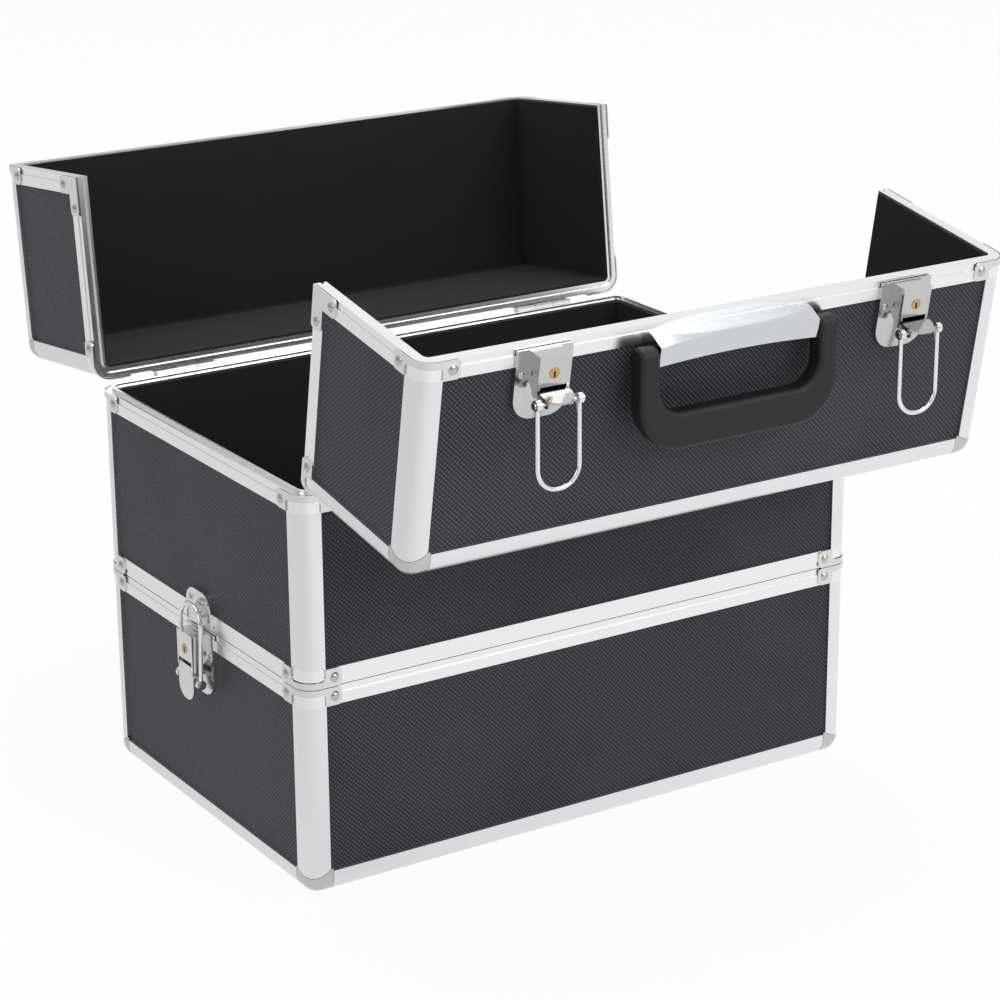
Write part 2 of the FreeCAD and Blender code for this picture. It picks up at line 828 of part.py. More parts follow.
def lid_brackets():
    """Bent brackets at the hinge and free corners, a flat one where mouth and free edge meet."""
    arm = dim.bracket_arm
    band = dim.rim_band
    top = dim.lid_height
    face = -half_width - dim.bracket_wall
    end_round = dim.bracket_end_round
    hinge_bracket = bent_bracket(in_lid(-half_width, 0, 0), True)
    free_bracket = bent_bracket(in_lid(-half_width, lid_depth, top), True, (-Z, X, -Y))
    flat_outline = [
        (0, 0),
        (arm, 0, end_round),
        (arm, band, end_round),
        (band, band),
        (band, arm, end_round),
        (0, arm, end_round),
    ]
    mitre = in_lid(-half_width, lid_depth, 0)
    flat_bracket = extruded("bracket", flat_outline, dim.bracket_wall, mitre, (-Y, Z, -X))
    reach = dim.rivet_inset
    middle = band / 2
    outward = (Y, -Z, -X)
    rivets = [
        rivet(in_lid(reach - half_width, -dim.bracket_wall, middle), (X, Z, -Y)),
        rivet(in_lid(face, reach, middle), outward),
        rivet(in_lid(reach - half_width, lid_depth - middle, top + dim.bracket_wall), (X, Y, Z)),
        rivet(in_lid(face, lid_depth - middle, top - reach), outward),
        rivet(in_lid(face, lid_depth - reach, middle), outward),
        rivet(in_lid(face, lid_depth - middle, reach), outward),
    ]
    return with_mirror([hinge_bracket, free_bracket, flat_bracket], X), with_mirror(rivets, X)


def lid_lining():
    """Lining on the wall, ends and top of a lid, open at the mouth and the free edge."""
    across = half_width - inset
    along = lid_depth - dim.lining_drop - inset
    height = dim.lid_height - inset - dim.lining_drop
    body = new_body("lining")
    footprint = [(-across, 0), (across, 0), (across, along), (-across, along)]
    block = feature(body, "Pad", draw(body, footprint), height)

    def bends_with_rim(edge):
        middle = edge.CenterOfMass
        at_end = abs(abs(middle.x) - number(across)) < 0.001
        by_wall = middle.y < 0.001 and middle.z > 0.001
        by_top = middle.z > number(height) - 0.001 and middle.y < number(along) - 0.001
        return (at_end and (by_wall or by_top)) or (by_wall and by_top)

    def is_open(face):
        low = face.BoundBox
        return low.ZMax < 0.001 or low.YMin > number(along) - 0.001

    rounded = round_edges(body, block, bends_with_rim, inner_round)
    shelled(body, rounded, is_open, dim.lining)
    return place(body, in_lid(0, inset, dim.lining_drop))


def build_lids():
    boards = lid_boards()
    lining = lid_lining()
    edges = lid_edges()
    rims = lid_rims()
    corners = with_mirror([ball_corner(in_lid(-half_width, 0, dim.lid_height), (X, -Z, Y))], X)
    brackets, rivets = lid_brackets()
    for side, lid_node in (("front", front_lid_node), ("rear", rear_lid_node)):
        lid_node(f"{side}_lid_panels", boards)
        lid_node(f"{side}_lid_lining", [lining])
        lid_node(f"{side}_lid_edges", edges)
        lid_node(f"{side}_lid_rims", rims)
        lid_node(f"{side}_lid_ball_corners", corners)
        lid_node(f"{side}_lid_brackets", brackets)
        lid_node(f"{side}_lid_rivets", rivets)


# Lid hinges
def hinge_leaf(up, low, high, gaps):
    """Leaf with its knuckles about the line y = 0, z = 0, cut clear where the other leaf's knuckles turn."""
    face = dim.hinge_out
    start, end = (0, dim.leaf_height) if up else (-dim.leaf_height, 0)
    plate = box("leaf", (low, face - dim.leaf_wall, start), (high, face, end))
    hole = dim.hinge_pin_radius + (dim.pin_fit if up else dim.press_fit)
    barrel = cylinder("knuckles", dim.knuckle_radius, high - low, (low, 0, 0), (Y, Z, X))
    bore = cylinder("bore", hole, high - low, (low, 0, 0), (Y, Z, X))
    clear = dim.knuckle_radius + dim.knuckle_gap
    leaf = cut("leaf", joined("leaf", [plate, barrel]), bore)
    for gap_low, gap_high in gaps:
        leaf = cut("leaf", leaf, box("gap", (gap_low, -clear, -clear), (gap_high, face, clear)))
    return leaf


def build_hinges():
    centre = dim.hinge_inset - half_width
    low = centre - dim.hinge_length / 2
    high = centre + dim.hinge_length / 2
    third = dim.hinge_length / 3
    gap = dim.knuckle_gap / 2
    at = (0, -half_depth - dim.hinge_out, hinge_height)
    box_leaf = hinge_leaf(False, low, high, [(low + third - gap, high - third + gap)])
    node("hinge_box_leaves", four_corners([placed(box_leaf, at)]))
    lid_leaf = hinge_leaf(True, low, high, [(low, low + third + gap), (high - third - gap, high)])
    front_lid_node("front_hinge_leaves", with_mirror([lid_leaf], X))
    rear_lid_node("rear_hinge_leaves", with_mirror([lid_leaf], X))
    pin = cylinder("hinge_pin", dim.hinge_pin_radius, dim.hinge_length, (low, at[1], at[2]), (Y, Z, X))
    node("hinge_pins", four_corners([pin]))


# Handle on the front lid
def arched_cut(body, half, rise, far, at, tilt):
    """Outline between an arc, crowned by a rise over its chord, and a straight far side."""
    radius = (half * half + rise * rise) / (rise * 2)
    sketch = new_sketch(body, ACROSS_UP, 0)
    sketch.AttachmentOffset = FreeCAD.Placement(ORIGIN, FreeCAD.Rotation(X, 1))
    bind(sketch, "AttachmentOffset.Rotation.Angle", tilt)
    bind(sketch, "AttachmentOffset.Base.y", at[0])
    bind(sketch, "AttachmentOffset.Base.z", at[1])
    left = FreeCAD.Vector(-number(half), 0, 0)
    right = FreeCAD.Vector(number(half), 0, 0)
    side = FreeCAD.Vector(0, number(far), 0)
    arc = sketch.addGeometry(Part.Arc(right, FreeCAD.Vector(0, number(rise), 0), left), False)
    left_side = sketch.addGeometry(Part.LineSegment(left, left + side), False)
    far_side = sketch.addGeometry(Part.LineSegment(left + side, right + side), False)
    right_side = sketch.addGeometry(Part.LineSegment(right + side, right), False)
    for before, after in ((left_side, far_side), (far_side, right_side)):
        sketch.addConstraint(Sketcher.Constraint("Coincident", before, 2, after, 1))
    sketch.addConstraint(Sketcher.Constraint("Coincident", arc, 2, left_side, 1))
    sketch.addConstraint(Sketcher.Constraint("Coincident", arc, 1, right_side, 2))
    for line, point, across, along in (
        (left_side, 1, -half, 0),
        (left_side, 2, -half, far),
        (right_side, 1, half, far),
        (right_side, 2, half, 0),
    ):
        fix(sketch, "DistanceX", line, point, across)
        fix(sketch, "DistanceY", line, point, along)
    rule = sketch.addConstraint(Sketcher.Constraint("Radius", arc, number(radius)))
    sketch.setExpression(f"Constraints[{rule}]", radius.text)
    return sketch


def handle_bracket():
    """Bar along the lid's free edge, stepped over the rim, with arched edges and a sloped top."""
    step = lid_depth - dim.rim_band - dim.joint_gap
    low = bracket_low
    high = bracket_high
    thick = dim.bracket_thick
    half = dim.bracket_half
    body = new_body("bracket_bar")
    side = [(low, -dim.skin), (step, -dim.skin), (step, 0), (high, 0), (high, thick), (low, thick)]
    feature(body, "Pad", draw(body, side, ALONG_UP), half * 2, both_ways=True)
    under = arched_cut(body, half, dim.bracket_arch, -dim.bracket_breadth, (low, 0), dim.front_angle * 0)
    feature(body, "Pocket", under, thick * 4, both_ways=True)
    slope_spot = (high, dim.bracket_slope_start)
    crown = dim.bracket_crown
    over = arched_cut(body, half, crown, dim.bracket_breadth, slope_spot, dim.bracket_slope_angle)
    feature(body, "Pocket", over, dim.bracket_breadth * 4, both_ways=True)
    spot = (grip_place, dim.grip_pivot_rise)
    bore = draw_circle(body, spot, dim.grip_pin_radius + dim.press_fit, ALONG_UP)
    feature(body, "Pocket", bore, half * 3, both_ways=True)
    return place(body, in_lid(0, 0, dim.lid_height))


def grip(pin_end):
    """U-shaped grip about its pivot line, reaching along -Y."""
    outer = dim.grip_half
    inner = outer - dim.grip_arm
    top = dim.grip_thick / 2
    inner_drop = dim.grip_bar - dim.grip_drop
    body = new_body("grip_bow")
    outline = [
        (-outer, top),
        (-outer, -dim.grip_drop, dim.grip_bend),
        (outer, -dim.grip_drop, dim.grip_bend),
        (outer, top),
        (inner, top),
        (inner, inner_drop, dim.grip_inner_bend),
        (-inner, inner_drop, dim.grip_inner_bend),
        (-inner, top),
    ]
    blank = feature(body, "Pad", draw(body, outline), dim.grip_thick, both_ways=True)

    def is_arm_end(edge):
        span = edge.BoundBox
        return span.YMin > number(top) - 0.001 and span.ZLength < 0.001

    def is_outline(edge):
        span = edge.BoundBox
        return span.ZLength < 0.001 and abs(abs(span.ZMin) - number(top)) < 0.001

    ended = round_edges(body, blank, is_arm_end, dim.grip_thick * 0.45)
    round_edges(body, ended, is_outline, dim.grip_edge)
    bore = draw_circle(body, (0, 0), dim.grip_pin_radius + dim.pin_fit, ALONG_UP)
    feature(body, "Pocket", bore, (pin_end + dim.side_play) * 2, both_ways=True)
    return body


def build_handle():
    axis = in_lid(0, grip_place, dim.lid_height + dim.grip_pivot_rise)
    pin_end = dim.grip_half - dim.grip_arm + dim.grip_pin_depth
    pin = cylinder("grip_pin", dim.grip_pin_radius, pin_end * 2, (-pin_end, axis[1], axis[2]), (Y, Z, X))
    front_lid_node("handle_bracket", [handle_bracket()])
    front_lid_node("handle_pin", [pin])
    front_lid_node("handle_grip", [turned([grip(pin_end)], axis, -front_lean)])


# Loop latch, drawn about its keyhole: X across, Y towards the catch, Z out of the rim's face
def latch_base():
    """Plate stepped over the rim, with a lock housing whose cheeks carry the lever."""
    half = dim.plate_half
    low = -dim.plate_bottom
    step = rim_edge - dim.joint_gap
    rounded = [(-half, low, dim.plate_round), (half, low, dim.plate_round)]
    body = new_body("latch_base")
    plate = draw(body, rounded + [(half, dim.plate_top), (-half, dim.plate_top)])
    feature(body, "Pad", plate, dim.plate_wall)
    foot = draw(body, rounded + [(half, step), (-half, step)], lift=-dim.skin)
    feature(body, "Pad", foot, dim.skin)
    tip = -dim.pivot_drop - dim.lug_radius
    bend = dim.lug_radius * 0.95
    under = dim.house_rise - dim.lug_radius * 2
    cheek = [
        (dim.house_top, dim.plate_wall),
        (dim.house_top, dim.house_rise),
        (tip, dim.house_rise, bend),
        (tip, under, bend),
        (dim.lug_radius * 0.2 - dim.pivot_drop, under),
        (dim.lug_radius * 2 - dim.pivot_drop, dim.plate_wall),
    ]
    feature(body, "Pad", draw(body, cheek, ALONG_UP), dim.house_half * 2, both_ways=True)
    front = dim.house_rise - dim.house_wall
    hollow = [
        (low, dim.plate_wall),
        (dim.house_top - dim.house_wall, dim.plate_wall),
        (dim.house_top - dim.house_wall, front),
        (-dim.house_lower_edge, front),
        (-dim.house_lower_edge, dim.house_rise * 2),
        (low, dim.house_rise * 2),
    ]
    inside = (dim.house_half - dim.house_wall) * 2
    feature(body, "Pocket", draw(body, hollow, ALONG_UP), inside, both_ways=True)
    lock_bore = draw_circle(body, (0, 0), dim.plug_radius + dim.pin_fit, lift=dim.house_rise)
    feature(body, "Pocket", lock_bore, dim.house_wall * 1.5)
    pivot_bore = draw_circle(body, pivot, dim.pivot_radius + dim.press_fit, ALONG_UP)
    feature(body, "Pocket", pivot_bore, dim.house_half * 3, both_ways=True)
    return body


def lock_plug():
    """Brass plug with a keyway."""
    body = new_body("lock_plug")
    start = dim.house_rise - dim.plug_length + dim.tongue_sink
    feature(body, "Pad", draw_circle(body, (0, 0), dim.plug_radius, lift=start), dim.plug_length)
    half = dim.keyway_wide / 2
    low = dim.plug_radius * -0.75
    high = dim.plug_radius * 0.35
    keyway = [(-half, low), (half, low), (half, high), (-half, high)]
    feature(body, "Pocket", draw(body, keyway, lift=start + dim.plug_length), dim.keyway_deep)
    return body


def lever(tongue_end):
    """Tongue with two ears under it, drawn closed about its pivot."""
    under = dim.house_rise - dim.pivot_rise - dim.tongue_sink - dim.tongue_plate
    top = dim.pivot_drop - dim.house_lower_edge - dim.lever_gap
    end = dim.pivot_drop - tongue_end
    neck = dim.tongue_neck_half
    wide = dim.tongue_half
    body = new_body("lever")
    tongue = [
        (-neck, top),
        (-neck, -dim.shoulder),
        (-wide, -dim.shoulder),
        (-wide, end, wide * 0.9),
        (wide, end, wide * 0.9),
        (wide, -dim.shoulder),
        (neck, -dim.shoulder),
        (neck, top),
    ]
    feature(body, "Pad", draw(body, tongue, lift=under), dim.tongue_plate)
    ear_top = dim.ear_reach
    ear_end = -dim.rod_drop - dim.ear_reach
    ear_low = -dim.rod_back - dim.ear_reach
    root = under + dim.tongue_plate / 2
    bend = dim.ear_bend
    ear = [
        (top, root),
        (top, under),
        (ear_top, under),
        (ear_top, ear_low, bend),
        (ear_end, ear_low, bend),
        (ear_end, root),
    ]
    feature(body, "Pad", draw(body, ear, ALONG_UP), neck * 2, both_ways=True)
    between = [(neck, under), (neck, -neck), (end, -neck), (end, under)]
    feature(body, "Pocket", draw(body, between, ALONG_UP), (neck - dim.ear_wall) * 2, both_ways=True)
    for spot in ((0, 0), (-dim.rod_drop, -dim.rod_back)):
        bore = draw_circle(body, spot, dim.pivot_radius + dim.pin_fit, ALONG_UP)
        feature(body, "Pocket", bore, neck * 3, both_ways=True)
    return body


def cross_rod():
    """Rod through the lever's ears, headed at both ends, that carries the loop."""
    half = dim.loop_half + dim.eye_width / 2 + dim.side_play + dim.rod_head_length
    body = new_body("cross_rod")
    shank = draw_circle(body, (0, 0), dim.pivot_radius, ALONG_UP)
    feature(body, "Pad", shank, half * 2, both_ways=True)
    for start in (-half, half - dim.rod_head_length):
        feature(body, "Pad", draw_circle(body, (0, 0), dim.rod_head, ALONG_UP, start), dim.rod_head_length)
    return body


def wire_loop():
    """Bent wire with an eye at each end, reaching along +Y from the rod."""
    half = dim.loop_half
    bend = half * 0.95
    body = new_body("wire_loop")
    turns = [(-half, 0), (-half, bar_reach, bend), (half, bar_reach, bend), (half, 0)]
    path = draw(body, turns, closed=False)
    wire = body.newObject("PartDesign::AdditivePipe", "wire")
    wire.Profile = draw_circle(body, (-half, 0), dim.wire_radius, FRONT)
    wire.Spine = path
    for start in (-half - dim.eye_width / 2, half - dim.eye_width / 2):
        feature(body, "Pad", draw_circle(body, (0, 0), dim.eye_radius, ALONG_UP, start), dim.eye_width)
    bore = draw_circle(body, (0, 0), dim.pivot_radius + dim.pin_fit, ALONG_UP)
    feature(body, "Pocket", bore, half * 3, both_ways=True)
    return body


def catch():
    """Arched plate with a nose that the loop drops over."""
    half = dim.catch_half
    step = rim_edge + dim.rim_band * 2 + dim.seam + dim.joint_gap
    arch = [(half, dim.catch_high, dim.catch_round), (-half, dim.catch_high, dim.catch_round)]
    body = new_body("catch")
    feature(body, "Pad", draw(body, [(-half, dim.catch_low), (half, dim.catch_low)] + arch), dim.catch_wall)
    foot = draw(body, [(-half, step), (half, step)] + arch, lift=-dim.skin)
    feature(body, "Pad", foot, dim.skin)
    side = dim.nose_half
    nose = [
        (-side, dim.nose_low),
        (side, dim.nose_low),
        (side, nose_seat, dim.nose_round),
        (-side, nose_seat, dim.nose_round),
    ]
    feature(body, "Pad", draw(body, nose, lift=dim.catch_wall), dim.nose_rise)
    return body


def latch_pieces(lever_angle, loop_angle, tongue_end):
    """The pieces of one latch, with the lever and the loop turned to where they rest."""
    spot = (0, *pivot)
    swing = -lever_angle
    drop = -dim.rod_drop
    back = -dim.rod_back
    rod_along = pivot[0] + drop * cosine(swing) - back * sine(swing)
    rod_out = pivot[1] + drop * sine(swing) + back * cosine(swing)
    rod_spot = (0, rod_along, rod_out)
    pin_start = (-dim.house_half, *pivot)
    return {
        "base": latch_base(),
        "pin": cylinder("lever_pin", dim.pivot_radius, dim.house_half * 2, pin_start, (Y, Z, X)),
        "lock_plug": lock_plug(),
        "lever": turned([lever(tongue_end)], spot, swing),
        "rod": turned([cross_rod()], rod_spot, swing),
        "loop": turned([wire_loop()], rod_spot, loop_angle),
    }


def build_latches():
    shut = dim.lever_angle_open * 0
    top_spot = in_lid(-latch_place, key_place, dim.lid_height)
    side_spot = (-half_width, 0, side_key_height)
    side_axes = (-Y, Z, -X)
    top_pieces = latch_pieces(dim.lever_angle_open, 270 - dim.front_angle, dim.top_tongue_end)
    side_pieces = latch_pieces(shut, -hooked_lean, dim.side_tongue_end)
    sets = (
        ("top", front_lid_node, top_pieces, top_spot, (X, Y, Z)),
        ("side", node, side_pieces, side_spot, side_axes),
    )
    for name, make_node, pieces, at, axes in sets:
        for kind, piece in pieces.items():
            left = placed(piece, at, axes)
            right = mirrored(left, X)
            if kind in ("base", "pin"):
                make_node(f"{name}_latch_{kind}s", [left, right])
            else:
                make_node(f"{name}_latch_{kind}_left", [left])
                make_node(f"{name}_latch_{kind}_right", [right])
    catch_spot = in_lid(-latch_place, half_depth + dim.key_to_seam, dim.lid_height)
    top_catch = placed(catch(), catch_spot, (-X, -Y, Z))
    rear_lid_node("top_catches", with_mirror([top_catch], X))
    side_catch = placed(catch(), side_spot, side_axes)
    node("side_catches", with_mirror([side_catch], X))


build_lower_box()
build_middle_box()
build_lids()
build_hinges()
build_handle()
build_latches()
doc.recompute()

for item in doc.Objects:
    if "Invalid" in item.State or "Error" in item.State:
        raise RuntimeError(f"{item.Name} ({item.Label}) did not build: {item.State}")
for item in nodes:
    if item.Shape.isNull() or not item.Shape.isValid() or not item.Shape.Solids:
        raise RuntimeError(f"{item.Label} is not a valid solid")

os.makedirs("parts", exist_ok=True)
for item in nodes:
    item.Shape.exportStep(f"parts/{item.Label}.step")
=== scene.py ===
"""Looks of an open two-tier train case: aluminium trim, black embossed panels, nickel fittings."""

import json
import math

import bpy
from mathutils import Matrix, Vector


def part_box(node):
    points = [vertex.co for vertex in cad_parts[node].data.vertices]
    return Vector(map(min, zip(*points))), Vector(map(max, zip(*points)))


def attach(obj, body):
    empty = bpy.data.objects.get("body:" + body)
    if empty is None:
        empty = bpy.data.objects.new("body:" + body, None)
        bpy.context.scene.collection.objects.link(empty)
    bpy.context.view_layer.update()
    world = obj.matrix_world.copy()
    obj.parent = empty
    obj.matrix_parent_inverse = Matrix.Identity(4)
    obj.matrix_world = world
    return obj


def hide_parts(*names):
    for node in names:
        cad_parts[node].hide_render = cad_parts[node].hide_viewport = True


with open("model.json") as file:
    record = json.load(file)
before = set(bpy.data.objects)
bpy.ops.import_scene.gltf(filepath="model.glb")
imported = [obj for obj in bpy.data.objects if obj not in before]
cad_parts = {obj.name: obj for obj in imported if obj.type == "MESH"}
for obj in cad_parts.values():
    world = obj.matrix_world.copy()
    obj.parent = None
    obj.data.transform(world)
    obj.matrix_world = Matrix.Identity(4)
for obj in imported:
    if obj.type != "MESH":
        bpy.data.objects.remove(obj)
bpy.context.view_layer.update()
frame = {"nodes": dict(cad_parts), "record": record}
nodes = frame["nodes"]
joints = {joint["name"]: joint for joint in frame["record"]["behaviour"]["joints"]}

MM = 0.001

# Camera at the photograph's viewing angle
VIEW_TARGET = Vector((15.7, 0.0, 158.8)) * MM
VIEW_DISTANCE = 1799.0 * MM
VIEW_AZIMUTH = math.radians(-32.33)
VIEW_ELEVATION = math.radians(18.97)
VIEW_ROLL = math.radians(-0.44)
SENSOR_WIDTH = 36.0
FOCAL_LENGTH = 108.8
CLIP_NEAR = 0.05
CLIP_FAR = 40.0


def add_camera():
    """Camera on a sphere round the target, level but for a slight roll."""
    back = Vector(
        (
            math.sin(VIEW_AZIMUTH) * math.cos(VIEW_ELEVATION),
            -math.cos(VIEW_AZIMUTH) * math.cos(VIEW_ELEVATION),
            math.sin(VIEW_ELEVATION),
        )
    )
    bpy.ops.object.camera_add(location=VIEW_TARGET + back * VIEW_DISTANCE)
    camera = bpy.context.object
    camera.name = "photo_camera"
    facing = back.to_track_quat("Z", "Y").to_matrix()
    camera.rotation_euler = (facing @ Matrix.Rotation(VIEW_ROLL, 3, "Z")).to_euler()
    camera.data.sensor_width = SENSOR_WIDTH
    camera.data.lens = FOCAL_LENGTH
    camera.data.clip_start = CLIP_NEAR
    camera.data.clip_end = CLIP_FAR
    bpy.context.scene.camera = camera


add_camera()

# Node helpers for materials


def new_material(name):
    """Material with a principled shader, and its node tree."""
    material = bpy.data.materials.new(name)
    material.use_nodes = True
    return material, material.node_tree, material.node_tree.nodes["Principled BSDF"]


def add_node(tree, kind, **settings):
    node = tree.nodes.new(kind)
    for name, value in settings.items():
        setattr(node, name, value)
    return node


def feed(tree, socket, value):
    """Links a node's output to a socket, or sets a constant on it."""
    if isinstance(value, bpy.types.NodeSocket):
        tree.links.new(value, socket)
    else:
        socket.default_value = value


def math_node(tree, operation, first, second=0.0):
    node = add_node(tree, "ShaderNodeMath", operation=operation)
    feed(tree, node.inputs[0], first)
    feed(tree, node.inputs[1], second)
    return node.outputs[0]


def blended(tree, first, second, share):
    """First value by its share, and the second for the rest."""
    main = math_node(tree, "MULTIPLY", first, share)
    return math_node(tree, "ADD", main, math_node(tree, "MULTIPLY", second, 1.0 - share))


def turned_coordinates(tree, turn=0.0, output="Object"):
    """Object coordinates, or the object's normal, turned about X so that a lid reads as if shut."""
    source = add_node(tree, "ShaderNodeTexCoord")
    mapping = add_node(tree, "ShaderNodeMapping")
    mapping.inputs["Rotation"].default_value = (turn, 0.0, 0.0)
    tree.links.new(source.outputs[output], mapping.inputs["Vector"])
    return mapping.outputs["Vector"]


def scaled(tree, vector, scale):
    mapping = add_node(tree, "ShaderNodeMapping")
    mapping.inputs["Scale"].default_value = scale
    tree.links.new(vector, mapping.inputs["Vector"])
    return mapping.outputs["Vector"]


def noise(tree, vector, scale, detail=3.0, roughness=0.55):
    node = add_node(tree, "ShaderNodeTexNoise")
    tree.links.new(vector, node.inputs["Vector"])
    node.inputs["Scale"].default_value = scale
    node.inputs["Detail"].default_value = detail
    node.inputs["Roughness"].default_value = roughness
    return node.outputs["Fac"]


def ranged(tree, value, from_range, to_range):
    """Remaps a value from one range to another, clamped."""
    node = add_node(tree, "ShaderNodeMapRange")
    feed(tree, node.inputs["Value"], value)
    node.inputs["From Min"].default_value = from_range[0]
    node.inputs["From Max"].default_value = from_range[1]
    node.inputs["To Min"].default_value = to_range[0]
    node.inputs["To Max"].default_value = to_range[1]
    return node.outputs["Result"]


def mixed_colour(tree, factor, first, second):
    node = add_node(tree, "ShaderNodeMix", data_type="RGBA")
    feed(tree, node.inputs["Factor"], factor)
    colour_inputs = [socket for socket in node.inputs if socket.type == "RGBA"]
    feed(tree, colour_inputs[0], (*first, 1.0))
    feed(tree, colour_inputs[1], (*second, 1.0))
    return [socket for socket in node.outputs if socket.type == "RGBA"][0]


def bump(tree, height, distance, strength=1.0, normal=None):
    node = add_node(tree, "ShaderNodeBump")
    node.inputs["Strength"].default_value = strength
    node.inputs["Distance"].default_value = distance
    tree.links.new(height, node.inputs["Height"])
    if normal is not None:
        tree.links.new(normal, node.inputs["Normal"])
    return node.outputs["Normal"]


def parts_of(tree, vector):
    node = add_node(tree, "ShaderNodeSeparateXYZ")
    tree.links.new(vector, node.inputs["Vector"])
    return [node.outputs[axis] for axis in "XYZ"]


# Finishes

# Boards: staggered dots on a finely grained sheet, a little uneven in tone, the dot tops painted light as
# painted glints and the gaps painted dark as painted shade
DOT_PITCH = 2.8 * MM
DOT_HEIGHT = 0.35 * MM
DOT_EDGE = (0.05, 0.7)
DOT_SHARE = 0.75
DOT_STRENGTH = 0.8
PANEL_GRAIN = 900.0
PANEL_GRAIN_DEPTH = 0.03 * MM
PANEL_GRAIN_STRENGTH = 0.5
PANEL_CLOUDS = 14.0
PANEL_ROUGH = (0.38, 0.52)
PANEL_GLOSS = 0.22
# Painted shade in the gaps between dots, and painted glints on the dot tops
PANEL_GAP_PAINTED_SHADE = (0.0090, 0.0093, 0.0112)
PANEL_DOT_PAINTED_GLINT = (0.104, 0.108, 0.128)

# Grip: matt moulding
GRIP_GRAIN = 1400.0
GRIP_GRAIN_DEPTH = 0.06 * MM
GRIP_GRAIN_STRENGTH = 0.6
GRIP_CLOUDS = 30.0
GRIP_ROUGH = (0.46, 0.62)
GRIP_GLOSS = 0.38
GRIP_DARK = (0.0065, 0.0065, 0.0070)
GRIP_PALE = (0.0125, 0.0125, 0.0130)

# Lining: short pile over glue that swells here and there
PILE = 1100.0
PILE_MIX = 0.7
PILE_SHARE = 0.6
PILE_DEPTH = 0.15 * MM
PILE_STRENGTH = 0.7
PATCHES = 18.0
PATCH_DEPTH = 0.5 * MM
PATCH_STRENGTH = 0.35
LINING_ROUGH = (0.82, 0.98)
LINING_GLOSS = 0.25
LINING_SHEEN = 0.06
LINING_SHEEN_ROUGH = 0.5
LINING_DARK = (0.003, 0.003, 0.0032)
LINING_PALE = (0.012, 0.012, 0.0125)

# Metals: streaks and cloudy polish
EVEN_GRAIN = (120.0, 120.0, 120.0)
METAL_CLOUDS = 45.0
STREAK_SHARE = 0.5
ROUGH_SPREAD = 0.15
POLISH_DEPTH = 0.001 * MM
POLISH_STRENGTH = 0.6

# Part of a noise's range that its surface uses
NOISE_SPAN = (0.3, 0.7)


def embossed_panel(name, turn=0.0):
    """Black sheet pressed with staggered dots, in the plane of whichever face it covers, with painted glints
    on the dot tops and painted shade in the gaps.
    """
    material, tree, shader = new_material(name)
    place = turned_coordinates(tree, turn)
    facing = turned_coordinates(tree, turn, "Normal")
    waves = []
    for along, normal in zip(parts_of(tree, place), parts_of(tree, facing)):
        wave = math_node(tree, "COSINE", math_node(tree, "MULTIPLY", along, math.tau / DOT_PITCH))
        away = math_node(tree, "MULTIPLY", normal, normal)
        lying = math_node(tree, "MULTIPLY", wave, math_node(tree, "SUBTRACT", 1.0, away))
        waves.append(math_node(tree, "ADD", lying, away))
    lattice = math_node(tree, "MULTIPLY", math_node(tree, "MULTIPLY", waves[0], waves[1]), waves[2])
    dots = ranged(tree, lattice, DOT_EDGE, (0.0, 1.0))
    grain = noise(tree, place, PANEL_GRAIN, detail=4.0)
    clouds = noise(tree, place, PANEL_CLOUDS, detail=2.0)
    # Colour: painted glints on the dots and painted shade between them, mixed with uneven tone
    tone = blended(tree, dots, clouds, DOT_SHARE)
    tree.links.new(mixed_colour(tree, tone, PANEL_GAP_PAINTED_SHADE, PANEL_DOT_PAINTED_GLINT), shader.inputs["Base Color"])
    tree.links.new(ranged(tree, grain, NOISE_SPAN, PANEL_ROUGH), shader.inputs["Roughness"])
    shader.inputs["Specular IOR Level"].default_value = PANEL_GLOSS
    fine = bump(tree, grain, PANEL_GRAIN_DEPTH, PANEL_GRAIN_STRENGTH)
    tree.links.new(bump(tree, dots, DOT_HEIGHT, DOT_STRENGTH, fine), shader.inputs["Normal"])
    return material


def metal(name, colour, rough, mottling, streak=EVEN_GRAIN, turn=0.0):
    """Metal with faint streaks drawn along its length, and cloudy polish."""
    material, tree, shader = new_material(name)
    place = turned_coordinates(tree, turn)
    streaks = noise(tree, scaled(tree, place, streak), 1.0)
    clouds = noise(tree, place, METAL_CLOUDS)
    tone = blended(tree, streaks, clouds, STREAK_SHARE)
    dull = tuple(channel * (1.0 - mottling) for channel in colour)
    tree.links.new(mixed_colour(tree, tone, dull, colour), shader.inputs["Base Color"])
    levels = (rough * (1.0 - ROUGH_SPREAD), rough * (1.0 + ROUGH_SPREAD))
    tree.links.new(ranged(tree, tone, NOISE_SPAN, levels), shader.inputs["Roughness"])
    shader.inputs["Metallic"].default_value = 1.0
    tree.links.new(bump(tree, streaks, POLISH_DEPTH, POLISH_STRENGTH), shader.inputs["Normal"])
    return material


def moulded_black(name):
    """Matt black moulding with a fine leathery grain."""
    material, tree, shader = new_material(name)
    place = turned_coordinates(tree)
    grain = noise(tree, place, GRIP_GRAIN)
    clouds = noise(tree, place, GRIP_CLOUDS, detail=2.0)
    tree.links.new(mixed_colour(tree, clouds, GRIP_DARK, GRIP_PALE), shader.inputs["Base Color"])
    shader.inputs["Specular IOR Level"].default_value = GRIP_GLOSS
    tree.links.new(ranged(tree, grain, NOISE_SPAN, GRIP_ROUGH), shader.inputs["Roughness"])
    relief = bump(tree, grain, GRIP_GRAIN_DEPTH, GRIP_GRAIN_STRENGTH)
    tree.links.new(relief, shader.inputs["Normal"])
    return material


